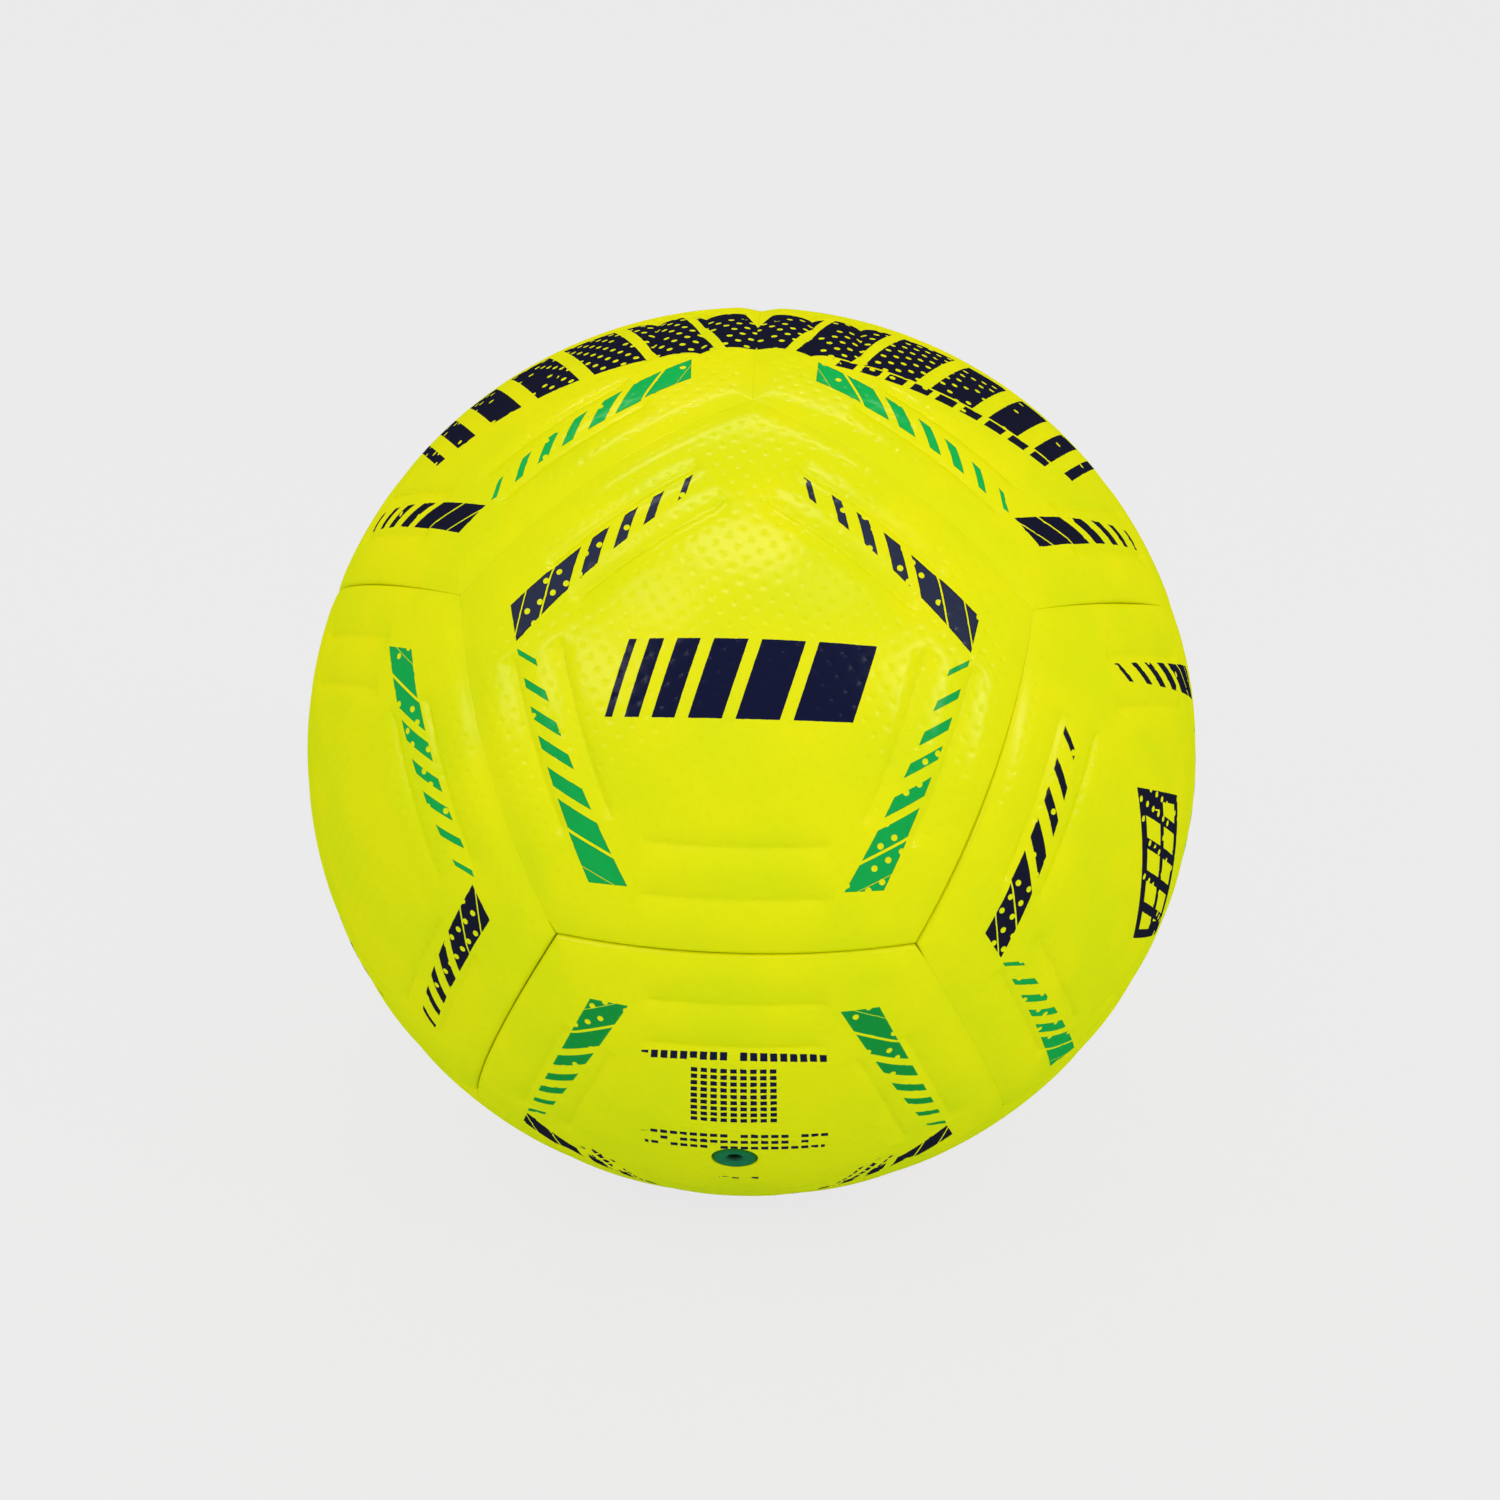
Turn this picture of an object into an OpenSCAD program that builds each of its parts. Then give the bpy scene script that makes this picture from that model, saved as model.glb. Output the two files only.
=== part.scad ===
// Handball: twelve bonded five-sided panels on foam, over a wound carcass, a bladder and a valve.
// The origin is the ball's centre. -Y runs through the middle of the seam between the front panel
// and the valve panel, and +Z through the middle of the seam between the two upper panels.

/* [Ball] */
// Diameter over the cover panels
ball_d = 160; // [140:1:190]
// Thickness of the synthetic leather skin
skin_t = 1.5; // [1.2:0.1:2]
// Thickness of the foam behind the skin
foam_t = 2.6; // [1.8:0.1:4]
// Thickness of the wound thread carcass
carcass_t = 0.8; // [0.6:0.1:1.6]
// Wall thickness of the bladder
bladder_t = 0.9; // [0.6:0.1:1.5]
// Glue line between one layer and the next
glue_t = 0.05; // [0.02:0.01:0.1]

/* [Seams and pressed relief] */
// Gap between two panels at a closed seam
seam_gap = 0.16; // [0.08:0.02:0.3]
// Radius that a panel's edge is rounded to at a seam
edge_r = 1.2; // [0.8:0.1:1.6]
// Width of the skin that is folded down beside a seam
fold_t = 1.2; // [0.8:0.1:1.5]
// Distance from a seam to a panel's outer valley
border_w = 9.3; // [8:0.1:11]
// Width of a pressed bar, from one of its valleys to the other
bar_w = 8.6; // [7:0.1:10]
// Length of a pressed bar
bar_l = 29.4; // [20:0.1:32]
// Width of a valley
valley_w = 2.6; // [2:0.1:3]
// Depth of a valley
valley_depth = 0.3; // [0.15:0.05:0.5]

/* [Valve core] */
// Distance of the valve from its panel's centre, towards the corner opposite the unprinted side
valve_off = 4; // [0:0.5:6]
// Diameter of the core's head
head_d = 7.4; // [6.8:0.1:9]
// Diameter of the core's stem
stem_d = 4.8; // [4:0.1:5.4]
// Length of the core's stem below the head, without its point
stem_l = 16; // [12:0.5:20]
// Length of the stem's point
point_l = 2; // [1:0.1:3]
// Diameter of the stem's point at its end
point_d = 2.6; // [2:0.1:3.6]
// Diameter of the needle hole
needle_d = 2; // [1.6:0.1:2.4]
// Depth of the needle hole, down to where the slit is closed
needle_l = 4.4; // [3:0.1:6]
// Diameter of the needle hole's mouth
mouth_d = 2.9; // [2.6:0.1:3.4]
// Depth of the needle hole's tapered mouth
mouth_l = 0.7; // [0.4:0.1:1]
// Height by which the head lies below the skin's surface
head_sink = 0.1; // [0.05:0.05:0.2]
// Radial clearance round the head, in the skin's hole
head_gap = 0.15; // [0.1:0.05:0.3]
// Radial clearance of the lubricated stem in its housing
stem_gap = 0.08; // [0.05:0.01:0.1]
// Gap below the head, to its seat on the housing's neck
seat_gap = 0.1; // [0.05:0.05:0.2]

/* [Valve housing] */
// Diameter of the housing's neck and tube
neck_d = 9.8; // [9.2:0.1:12]
// Diameter of the housing's flange on the bladder
flange_d = 22; // [16:0.5:30]
// Thickness of the housing's flange
flange_t = 1.4; // [1:0.1:2]
// Length by which the housing's tube reaches past the stem's point
tube_over = 1.2; // [0.5:0.1:3]
// Radial clearance round the neck, in the foam and the carcass
neck_gap = 0.2; // [0.1:0.05:0.4]

/* [Hidden] */
$fn = 120;
// Overrun by which a cut passes the face that it opens
eps = 0.01;
golden = (1 + sqrt(5)) / 2;
ball_r = ball_d / 2;
skin_in_r = ball_r - skin_t;
foam_r = skin_in_r - glue_t;
cover_in_r = foam_r - foam_t;
carcass_r = cover_in_r - glue_t;
carcass_in_r = carcass_r - carcass_t;
bladder_r = carcass_in_r - glue_t;
bladder_in_r = bladder_r - bladder_t;
flange_r = bladder_in_r - glue_t;

// Angles of a dodecahedron's face, seen from the centre
SIDES = 5;
side_step = 360 / SIDES;
seam_angle = atan(1 / golden);
side_half_turn = acos(sqrt(5) / 3) / 2;

// Angles that arc lengths on the ball's surface span at its centre
function arc_angle(length) = length / ball_r * 180 / PI;
border_angle = arc_angle(border_w);
bar_angle = arc_angle(border_w + bar_w);
bar_half_turn = arc_angle(bar_l / 2);
valve_turn = arc_angle(valve_off);

// A valley is a groove of round section
valley_r = (valley_w * valley_w / 4 + valley_depth * valley_depth) / (2 * valley_depth);
valley_centre_r = ball_r + valley_r - valley_depth;

// The rounding's centre, as shares of its radius: below the skin's surface, and in from the seam
edge_below_share = 0.94;
edge_in_share = 0.9;

// Heights along the valve's axis, measured from the ball's centre
head_top = ball_r - head_sink;
head_bottom = foam_r + seat_gap;
stem_end = head_bottom - stem_l;
point_end = stem_end - point_l;
tube_end = point_end - tube_over;
bore_d = stem_d + 2 * stem_gap;
skin_hole_d = head_d + 2 * head_gap;
neck_hole_d = neck_d + 2 * neck_gap;

// Each panel: its name, the direction of its centre, and the corner opposite its unprinted side
PANELS = [
    ["front", [0, -golden, 1], [0, 1 - golden, golden]],
    ["valve", [0, -golden, -1], [0, 1 - golden, -golden]],
    ["left", [-golden, -1, 0], [-1, -1, -1]],
    ["right", [golden, -1, 0], [1, -1, 1]],
    ["upper_left", [-1, 0, golden], [-golden, 0, golden - 1]],
    ["upper_right", [1, 0, golden], [golden, 0, golden - 1]],
    ["rear_low", [0, golden, -1], [0, golden - 1, -golden]],
    ["rear_high", [0, golden, 1], [0, golden - 1, golden]],
    ["rear_right", [golden, 1, 0], [1, 1, 1]],
    ["rear_left", [-golden, 1, 0], [-1, 1, -1]],
    ["lower_right", [1, 0, -golden], [golden, 0, 1 - golden]],
    ["lower_left", [-1, 0, -golden], [-golden, 0, 1 - golden]],
];
VALVE_PANEL = 1;
PANEL_COUNT = len(PANELS);
function cover_name(i) = str("cover_panel_", PANELS[i][0]);
function foam_name(i) = str("panel_foam_", PANELS[i][0]);

// A direction's turn about Z, and its tilt away from Z
function turn_of(direction) = atan2(direction[1], direction[0]);
function tilt_of(direction) = acos(direction[2] / norm(direction));

// Turns +Z to a direction
module face_along(direction) {
    rotate([0, tilt_of(direction), turn_of(direction)]) children();
}

// Turns +Z to a panel's centre, and +X towards the corner opposite its unprinted side
module place_panel(i) {
    centre = PANELS[i][1];
    corner = PANELS[i][2];
    turn = turn_of(centre);
    tilt = tilt_of(centre);
    down = [cos(tilt) * cos(turn), cos(tilt) * sin(turn), -sin(tilt)];
    across = [-sin(turn), cos(turn), 0];
    face_along(centre) rotate([0, 0, atan2(corner * across, corner * down)]) children();
}

// Turns +Z to the valve's axis
module at_valve() {
    place_panel(VALVE_PANEL) rotate([0, valve_turn, 0]) children();
}

// Turns +Z to the pole of side k's great circle, and +X to the middle of that side
module on_side(k) {
    rotate([0, seam_angle - 90, (k + 0.5) * side_step]) children();
}

// The spherical pentagon between two radii, its sides held in from the seams
module panel_solid(outer_r, inner_r, inset) {
    intersection() {
        difference() {
            sphere(r = outer_r);
            sphere(r = inner_r);
        }
        inside_seams(outer_r, inset);
    }
}

// The space that lies inside all five seam planes
module inside_seams(reach, inset) {
    intersection_for (k = [0 : SIDES - 1])
        on_side(k)
            translate([-2 * reach, -2 * reach, inset])
                cube([4 * reach, 4 * reach, 2 * reach]);
}

// What rounds a panel's edge down to the seam, turned about the seam's axis past both corners
module edge_rounding() {
    centre_r = ball_r - edge_below_share * edge_r;
    centre_z = seam_gap / 2 + edge_in_share * edge_r;
    half_turn = side_half_turn + arc_angle(2 * edge_r);
    rotate([0, 0, -half_turn])
        rotate_extrude(angle = 2 * half_turn)
            difference() {
                translate([centre_r, 0])
                    square([2 * edge_r, centre_z]);
                translate([centre_r, centre_z])
                    circle(r = edge_r);
            }
}

// A pressed valley beside a bar, at an angle in from the seam
module valley(angle) {
    rotate([0, 0, -bar_half_turn])
        rotate_extrude(angle = 2 * bar_half_turn)
            translate([valley_centre_r * cos(angle), valley_centre_r * sin(angle)])
                circle(r = valley_r);
}

// The hole through one layer for the valve
module valve_hole(d) {
    at_valve() cylinder(d = d, h = ball_d);
}

module cover_panel(i) {
    color("#E2E60E")
        difference() {
            place_panel(i)
                difference() {
                    panel_solid(ball_r, cover_in_r, seam_gap / 2);
                    panel_solid(skin_in_r, cover_in_r - eps, seam_gap / 2 + fold_t);
                    for (k = [0 : SIDES - 1])
                        on_side(k) {
                            edge_rounding();
                            valley(border_angle);
                            valley(bar_angle);
                        }
                }
            if (i == VALVE_PANEL)
                valve_hole(skin_hole_d);
        }
}

module panel_foam(i) {
    color("#E9E9E2")
        difference() {
            place_panel(i)
                panel_solid(foam_r, cover_in_r, seam_gap / 2 + fold_t + glue_t);
            if (i == VALVE_PANEL)
                valve_hole(neck_hole_d);
        }
}

module hollow_ball(outer_r, inner_r) {
    difference() {
        sphere(r = outer_r);
        sphere(r = inner_r);
        valve_hole(neck_hole_d);
    }
}

module wound_carcass() {
    color("#D8D2BC")
        hollow_ball(carcass_r, carcass_in_r);
}

module bladder() {
    color("#2B2B2D")
        hollow_ball(bladder_r, bladder_in_r);
}

module valve_housing() {
    color("#3A3A3C")
        at_valve()
            difference() {
                union() {
                    intersection() {
                        difference() {
                            sphere(r = flange_r);
                            sphere(r = flange_r - flange_t);
                        }
                        cylinder(d = flange_d, h = ball_d);
                    }
                    intersection() {
                        sphere(r = foam_r);
                        translate([0, 0, tube_end])
                            cylinder(d = neck_d, h = ball_r);
                    }
                }
                cylinder(d = bore_d, h = ball_d);
            }
}

module valve_core() {
    color("#12A05A")
        at_valve()
            difference() {
                union() {
                    translate([0, 0, head_bottom])
                        cylinder(d = head_d, h = head_top - head_bottom);
                    translate([0, 0, stem_end])
                        cylinder(d = stem_d, h = stem_l + eps);
                    translate([0, 0, point_end])
                        cylinder(d1 = point_d, d2 = stem_d, h = point_l);
                }
                translate([0, 0, head_top - needle_l])
                    cylinder(d = needle_d, h = needle_l + eps);
                translate([0, 0, head_top - mouth_l])
                    cylinder(d1 = needle_d, d2 = mouth_d, h = mouth_l);
            }
}

for (i = [0 : PANEL_COUNT - 1]) {
    cover_panel(i);
    panel_foam(i);
}
wound_carcass();
bladder();
valve_housing();
valve_core();
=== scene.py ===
"""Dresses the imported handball: its panels, print, valve core, inner layers, studio and camera."""

import logging
import math
from collections.abc import Callable, Sequence
from dataclasses import dataclass, field
from enum import Enum
from functools import reduce

import bmesh
import bpy
import numpy as np
from mathutils import Matrix, Vector

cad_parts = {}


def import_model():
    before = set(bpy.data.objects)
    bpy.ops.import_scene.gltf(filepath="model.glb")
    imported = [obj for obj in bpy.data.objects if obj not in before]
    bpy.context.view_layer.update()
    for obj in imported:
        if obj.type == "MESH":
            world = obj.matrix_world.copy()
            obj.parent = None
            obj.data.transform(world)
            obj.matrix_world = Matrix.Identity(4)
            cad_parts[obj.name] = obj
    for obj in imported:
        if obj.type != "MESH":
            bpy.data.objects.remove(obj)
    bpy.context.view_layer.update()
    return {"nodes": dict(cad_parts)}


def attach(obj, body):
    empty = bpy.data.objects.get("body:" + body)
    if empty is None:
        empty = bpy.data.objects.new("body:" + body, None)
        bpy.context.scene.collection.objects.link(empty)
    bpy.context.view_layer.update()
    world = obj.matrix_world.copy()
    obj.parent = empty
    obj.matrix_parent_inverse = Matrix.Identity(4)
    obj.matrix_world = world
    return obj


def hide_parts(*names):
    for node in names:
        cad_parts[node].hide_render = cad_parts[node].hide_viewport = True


log = logging.getLogger("handball")

Pair = tuple[float, float]
Triple = tuple[float, float, float]
Rgba = tuple[float, float, float, float]
Spans = tuple[Pair, ...]
Inputs = dict[str | int, object]

MM = 0.001
GOLDEN = (1 + math.sqrt(5)) / 2
SIDES = 5
SIDE_STEP = math.tau / SIDES
# A dodecahedron's face, seen from its centre: the angles from its middle to a side and a corner
SEAM_ANGLE = math.atan(1 / GOLDEN)
SEAM_COS, SEAM_SIN = math.cos(SEAM_ANGLE), math.sin(SEAM_ANGLE)
CORNER_ANGLE = math.atan(math.tan(SEAM_ANGLE) / math.cos(SIDE_STEP / 2))
# Distances below which a cut takes the nearest vertex, at the rims and along the valleys, and
# below which two vertices of a turned shape become one
RIM_REACH = 1e-6
VALLEY_REACH = 2e-5
TURNED_REACH = 1e-7
# The noise values between which a mottle goes over from one colour to the other
MOTTLE: Pair = (0.35, 0.7)
WHITE: Rgba = (1.0, 1.0, 1.0, 1.0)


def linear(red: int, green: int, blue: int) -> Rgba:
    """Turns a screen colour into the shader's linear one.

    Args:
        red: Screen red, 0 to 255.
        green: Screen green, 0 to 255.
        blue: Screen blue, 0 to 255.

    Returns:
        The linear colour with an alpha of one.
    """
    parts = [c / 255 for c in (red, green, blue)]
    r, g, b = (c / 12.92 if c <= 0.04045 else ((c + 0.055) / 1.055) ** 2.4 for c in parts)
    return r, g, b, 1.0


def ramp(values: np.ndarray, span: Pair) -> np.ndarray:
    """Rises evenly from zero at a span's first end to one at its second."""
    return np.clip((values - span[0]) / (span[1] - span[0]), 0, 1)


def fade(distances: np.ndarray, reach: float, power: float = 2) -> np.ndarray:
    """Falls from one at no distance to zero at the reach."""
    return np.clip(1 - distances / reach, 0, 1) ** power


def smooth(shares: np.ndarray) -> np.ndarray:
    """Rounds off both ends of a ramp."""
    return shares * shares * (3 - 2 * shares)


def quarter_turn(steps: int) -> list[Pair]:
    """Gives the sine and cosine of even steps through a quarter turn, without its start."""
    turns = [step / steps * math.pi / 2 for step in range(1, steps + 1)]
    return [(math.sin(turn), math.cos(turn)) for turn in turns]


def vertex_places(mesh: bpy.types.Mesh) -> np.ndarray:
    """Reads a mesh's vertices.

    Args:
        mesh: The mesh.

    Returns:
        Their places, one per row.
    """
    places = np.empty(len(mesh.vertices) * 3)
    mesh.vertices.foreach_get("co", places)
    return places.reshape(-1, 3)


def vertex_values(mesh: bpy.types.Mesh, name: str, kind: type = float) -> np.ndarray:
    """Reads an attribute of a mesh's vertices.

    Args:
        mesh: The mesh.
        name: The attribute.
        kind: The type of its values.

    Returns:
        Its values.
    """
    values = np.empty(len(mesh.vertices), kind)
    mesh.attributes[name].data.foreach_get("value", values)
    return values


def solid_mesh(name: str, shape: bmesh.types.BMesh) -> bpy.types.Mesh:
    """Turns a closed shape into a smooth mesh.

    Args:
        name: The mesh's name.
        shape: The shape, which is freed.

    Returns:
        The mesh.
    """
    bmesh.ops.recalc_face_normals(shape, faces=shape.faces[:])
    for face in shape.faces:
        face.smooth = True
    mesh = bpy.data.meshes.new(name)
    shape.to_mesh(mesh)
    shape.free()
    return mesh


def placed(name: str, data: bpy.types.ID) -> bpy.types.Object:
    """Adds an object to the scene.

    Args:
        name: Its name.
        data: Its mesh, light or camera.

    Returns:
        The object.
    """
    thing = bpy.data.objects.new(name, data)
    bpy.context.scene.collection.objects.link(thing)
    return thing


class Reach(Enum):
    """What a lamp is seen in: shaded surfaces, reflections or both."""

    ALL = (True, True)
    SHADING = (True, False)
    REFLECTIONS = (False, True)


class Motif(Enum):
    """The plain navy print that a panel carries besides its rows."""

    NONE = "none"
    LEFT_BAND = "left band"
    RIGHT_BAND = "right band"
    BARS = "bars"
    LADDERS = "ladders"
    RULES = "rules"


class LitGreen(Enum):
    """How deep a panel's green rows are, by the ink inside a dash: the upper panels' green is
    lighter as a painted sheen, and the valve panel's, low on the ball, darker as painted shade.
    """

    # Painted sheen: the upper panels' green, lighter for the light that falls on them
    SHEEN_LIT = linear(10, 177, 80)
    PLAIN = linear(9, 165, 77)
    # Painted shade: the low valve panel's green, darker for the shade it lies in
    DEEP = linear(8, 142, 59)


@dataclass(frozen=True)
class PanelPlace:
    """One cover panel's name and place on the ball."""

    name: str
    centre: Triple
    corner: Triple
    motif: Motif = Motif.NONE
    # The green inside its dashes, painted lighter or darker for how light falls on the panel
    tone: LitGreen = LitGreen.PLAIN
    # How far the green rows lean off the panel's middle line
    lean: float = 0.0
    # How much further out the green row on the panel's right lies
    slip: float = 0.0

    def turn(self) -> Matrix:
        """Works out the turn from the panel's own axes to the ball's.

        Returns:
            A rotation that takes +Z to the panel's centre and +X towards its leading corner.
        """
        out = Vector(self.centre).normalized()
        lead = Vector(self.corner)
        lead = (lead - lead.dot(out) * out).normalized()
        return Matrix((lead, out.cross(lead), out)).transposed()


PANELS = (
    # The valve panel's green gets painted shade, and the upper panels' green a painted sheen
    PanelPlace("front", (0, -GOLDEN, 1), (0, 1 - GOLDEN, GOLDEN), Motif.BARS),
    PanelPlace("valve", (0, -GOLDEN, -1), (0, 1 - GOLDEN, -GOLDEN), Motif.RULES, LitGreen.DEEP),
    PanelPlace("left", (-GOLDEN, -1, 0), (-1, -1, -1), lean=0.054, slip=0.1),
    PanelPlace("right", (GOLDEN, -1, 0), (1, -1, 1), Motif.LADDERS),
    PanelPlace(
        "upper_left", (-1, 0, GOLDEN), (-GOLDEN, 0, GOLDEN - 1), Motif.LEFT_BAND, LitGreen.SHEEN_LIT
    ),
    PanelPlace(
        "upper_right", (1, 0, GOLDEN), (GOLDEN, 0, GOLDEN - 1), Motif.RIGHT_BAND, LitGreen.SHEEN_LIT
    ),
    PanelPlace("rear_low", (0, GOLDEN, -1), (0, GOLDEN - 1, -GOLDEN)),
    PanelPlace("rear_high", (0, GOLDEN, 1), (0, GOLDEN - 1, GOLDEN)),
    PanelPlace("rear_right", (GOLDEN, 1, 0), (1, 1, 1)),
    PanelPlace("rear_left", (-GOLDEN, 1, 0), (-1, 1, -1)),
    PanelPlace("lower_right", (1, 0, -GOLDEN), (GOLDEN, 0, 1 - GOLDEN)),
    PanelPlace("lower_left", (-1, 0, -GOLDEN), (-GOLDEN, 0, 1 - GOLDEN)),
)
VALVE = PANELS[1]
# Seams low on the ball that are bonded fully shut, by the two panels on each
SHUT_SEAMS = ((PANELS[2], PANELS[0]), (PANELS[1], PANELS[3]))
# The angle from the valve panel's centre to the valve, towards the leading corner
VALVE_SHIFT = 4 / 80


def valve_turn() -> Matrix:
    """Gives the turn from an upright valve to the ball's one."""
    return VALVE.turn() @ Matrix.Rotation(VALVE_SHIFT, 3, "Y")


def math_node(operation: str, first: bool = True) -> Callable[..., "Wire"]:
    """Makes a method that adds a Math node.

    Args:
        operation: The node's operation.
        first: Whether the method's own wire is the first value or the last.

    Returns:
        The method.
    """

    def method(wire: "Wire", *others: "Wire | float") -> "Wire":
        """Adds the node to the wire's sheet."""
        inputs = dict(enumerate((wire, *others) if first else (*others, wire)))
        return wire.sheet.wire("ShaderNodeMath", "Value", {"operation": operation}, inputs)

    return method


class Wire:
    """A value in a node tree, on which Python's operators add Math nodes.

    A depth is the distance in from the edge of a printed form, below zero outside the form.
    """

    __add__ = __radd__ = math_node("ADD")
    __sub__, __rsub__ = math_node("SUBTRACT"), math_node("SUBTRACT", first=False)
    __mul__ = __rmul__ = math_node("MULTIPLY")
    __truediv__, __rtruediv__ = math_node("DIVIDE"), math_node("DIVIDE", first=False)
    __gt__, __lt__ = math_node("GREATER_THAN"), math_node("LESS_THAN")
    __abs__, root, rounded = math_node("ABSOLUTE"), math_node("SQRT"), math_node("ROUND")
    at_least, at_most = math_node("MAXIMUM"), math_node("MINIMUM")
    angle, wrapped = math_node("ARCTAN2"), math_node("WRAP")

    def __init__(self, sheet: "NodeSheet", socket: bpy.types.NodeSocket) -> None:
        """Holds an output socket and the sheet that it is on."""
        self.sheet = sheet
        self.socket = socket

    def eased(self, low: float, high: float) -> "Wire":
        """Rises smoothly from zero at low to one at high."""
        inputs = {"Value": self, "From Min": low, "From Max": high}
        settings = {"interpolation_type": "SMOOTHSTEP"}
        return self.sheet.wire("ShaderNodeMapRange", "Result", settings, inputs)

    def bars(self, spans: Spans) -> "Wire":
        """Measures the depth in a row of bars, by each bar's two ends."""
        depths = [(high - low) / 2 - abs(self - (low + high) / 2) for low, high in spans]
        return reduce(Wire.at_least, depths)

    def repeated(self, pitch: float, filled: float) -> "Wire":
        """Measures the depth in even bars, by their pitch and the share of it that they fill."""
        return pitch * filled / 2 - abs(self.wrapped(pitch / 2, -pitch / 2))


class NodeSheet:
    """A node tree under construction."""

    def __init__(self, tree: bpy.types.NodeTree) -> None:
        """Takes a tree and empties it."""
        self.tree = tree
        tree.nodes.clear()

    def node(
        self, kind: str, settings: dict[str, object] | None = None, inputs: Inputs | None = None
    ) -> bpy.types.Node:
        """Adds a node.

        Args:
            kind: The node's type.
            settings: Its settings.
            inputs: Its sockets' values, wires or output sockets.

        Returns:
            The node.
        """
        node = self.tree.nodes.new(kind)
        for name, value in (settings or {}).items():
            setattr(node, name, value)
        for name, value in (inputs or {}).items():
            source = value.socket if isinstance(value, Wire) else value
            if isinstance(source, bpy.types.NodeSocket):
                self.tree.links.new(source, node.inputs[name])
            else:
                node.inputs[name].default_value = source
        return node

    def wire(self, kind: str, output: str | int, *given: Inputs | None) -> Wire:
        """Adds a node with the given settings and inputs, and gives one of its outputs."""
        return Wire(self, self.node(kind, *given).outputs[output])

    def place(self) -> Wire:
        """Gives the place on the object, in the object's own coordinates."""
        return self.wire("ShaderNodeTexCoord", "Object")

    def turned(self, place: Wire, angles: Sequence[float]) -> Wire:
        """Turns a place about the three axes."""
        inputs = {"Vector": place, "Rotation": tuple(angles)}
        return self.wire("ShaderNodeMapping", "Vector", None, inputs)

    def parts(self, vector: Wire) -> tuple[Wire, Wire, Wire]:
        """Splits a vector into its three values."""
        split = self.node("ShaderNodeSeparateXYZ", None, {0: vector})
        return tuple(Wire(self, out) for out in split.outputs)

    def blend(self, share: Wire, under: Wire | Rgba, over: Wire | Rgba) -> Wire:
        """Mixes two colours, by how much of the upper one shows."""
        inputs = {0: share, 6: under, 7: over}
        return self.wire("ShaderNodeMix", 2, {"data_type": "RGBA"}, inputs)

    def noise(self, place: Wire, scale: float, detail: float = 2.0) -> Wire:
        """Adds noise about 0.5, by its cells per metre and its octaves."""
        inputs = {"Vector": place, "Scale": scale, "Detail": detail}
        return self.wire("ShaderNodeTexNoise", "Fac", None, inputs)

    def chance(self, a: Wire, b: Wire) -> Wire:
        """Gives each cell of a grid its own random value from zero to one."""
        cell = self.wire("ShaderNodeCombineXYZ", "Vector", None, {0: a, 1: b})
        settings = {"noise_dimensions": "2D"}
        return self.wire("ShaderNodeTexWhiteNoise", "Value", settings, {"Vector": cell})

    def mixed(
        self, share: Wire | float, under: bpy.types.Node, over: bpy.types.Node
    ) -> bpy.types.Node:
        """Mixes two shaders, by how much of the upper one shows."""
        inputs = {0: share, 1: under.outputs[0], 2: over.outputs[0]}
        return self.node("ShaderNodeMixShader", None, inputs)


def new_material(name: str) -> tuple[bpy.types.Material, NodeSheet]:
    """Makes an empty material.

    Args:
        name: Its name.

    Returns:
        The material and its node tree.
    """
    material = bpy.data.materials.new(name)
    material.use_nodes = True
    return material, NodeSheet(material.node_tree)


def finish_surface(
    sheet: NodeSheet,
    colour: Wire,
    roughness: Wire | float,
    height: Wire,
    relief: float,
    specular: float = 0.5,
    gloss: float = 0.0,
) -> None:
    """Closes a material with a Principled shader, under an even clear gloss where it has one.

    Args:
        sheet: The material's tree.
        colour: Base colour.
        roughness: Roughness.
        height: Bump height from 0 to 1.
        relief: Depth in metres of a height of one.
        specular: Strength of the shader's own reflection.
        gloss: The gloss's share of the light.
    """
    bump = {"Height": height, "Distance": relief, "Strength": 1.0}
    inputs: Inputs = {
        "Base Color": colour,
        "Roughness": roughness,
        "Specular IOR Level": specular,
        "Normal": sheet.wire("ShaderNodeBump", "Normal", None, bump),
    }
    shader = sheet.node("ShaderNodeBsdfPrincipled", None, inputs)
    if gloss:
        clear = {**inputs, "Base Color": WHITE, "Metallic": 1.0}
        shader = sheet.mixed(gloss, shader, sheet.node("ShaderNodeBsdfPrincipled", None, clear))
    sheet.node("ShaderNodeOutputMaterial", None, {"Surface": shader.outputs[0]})


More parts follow.
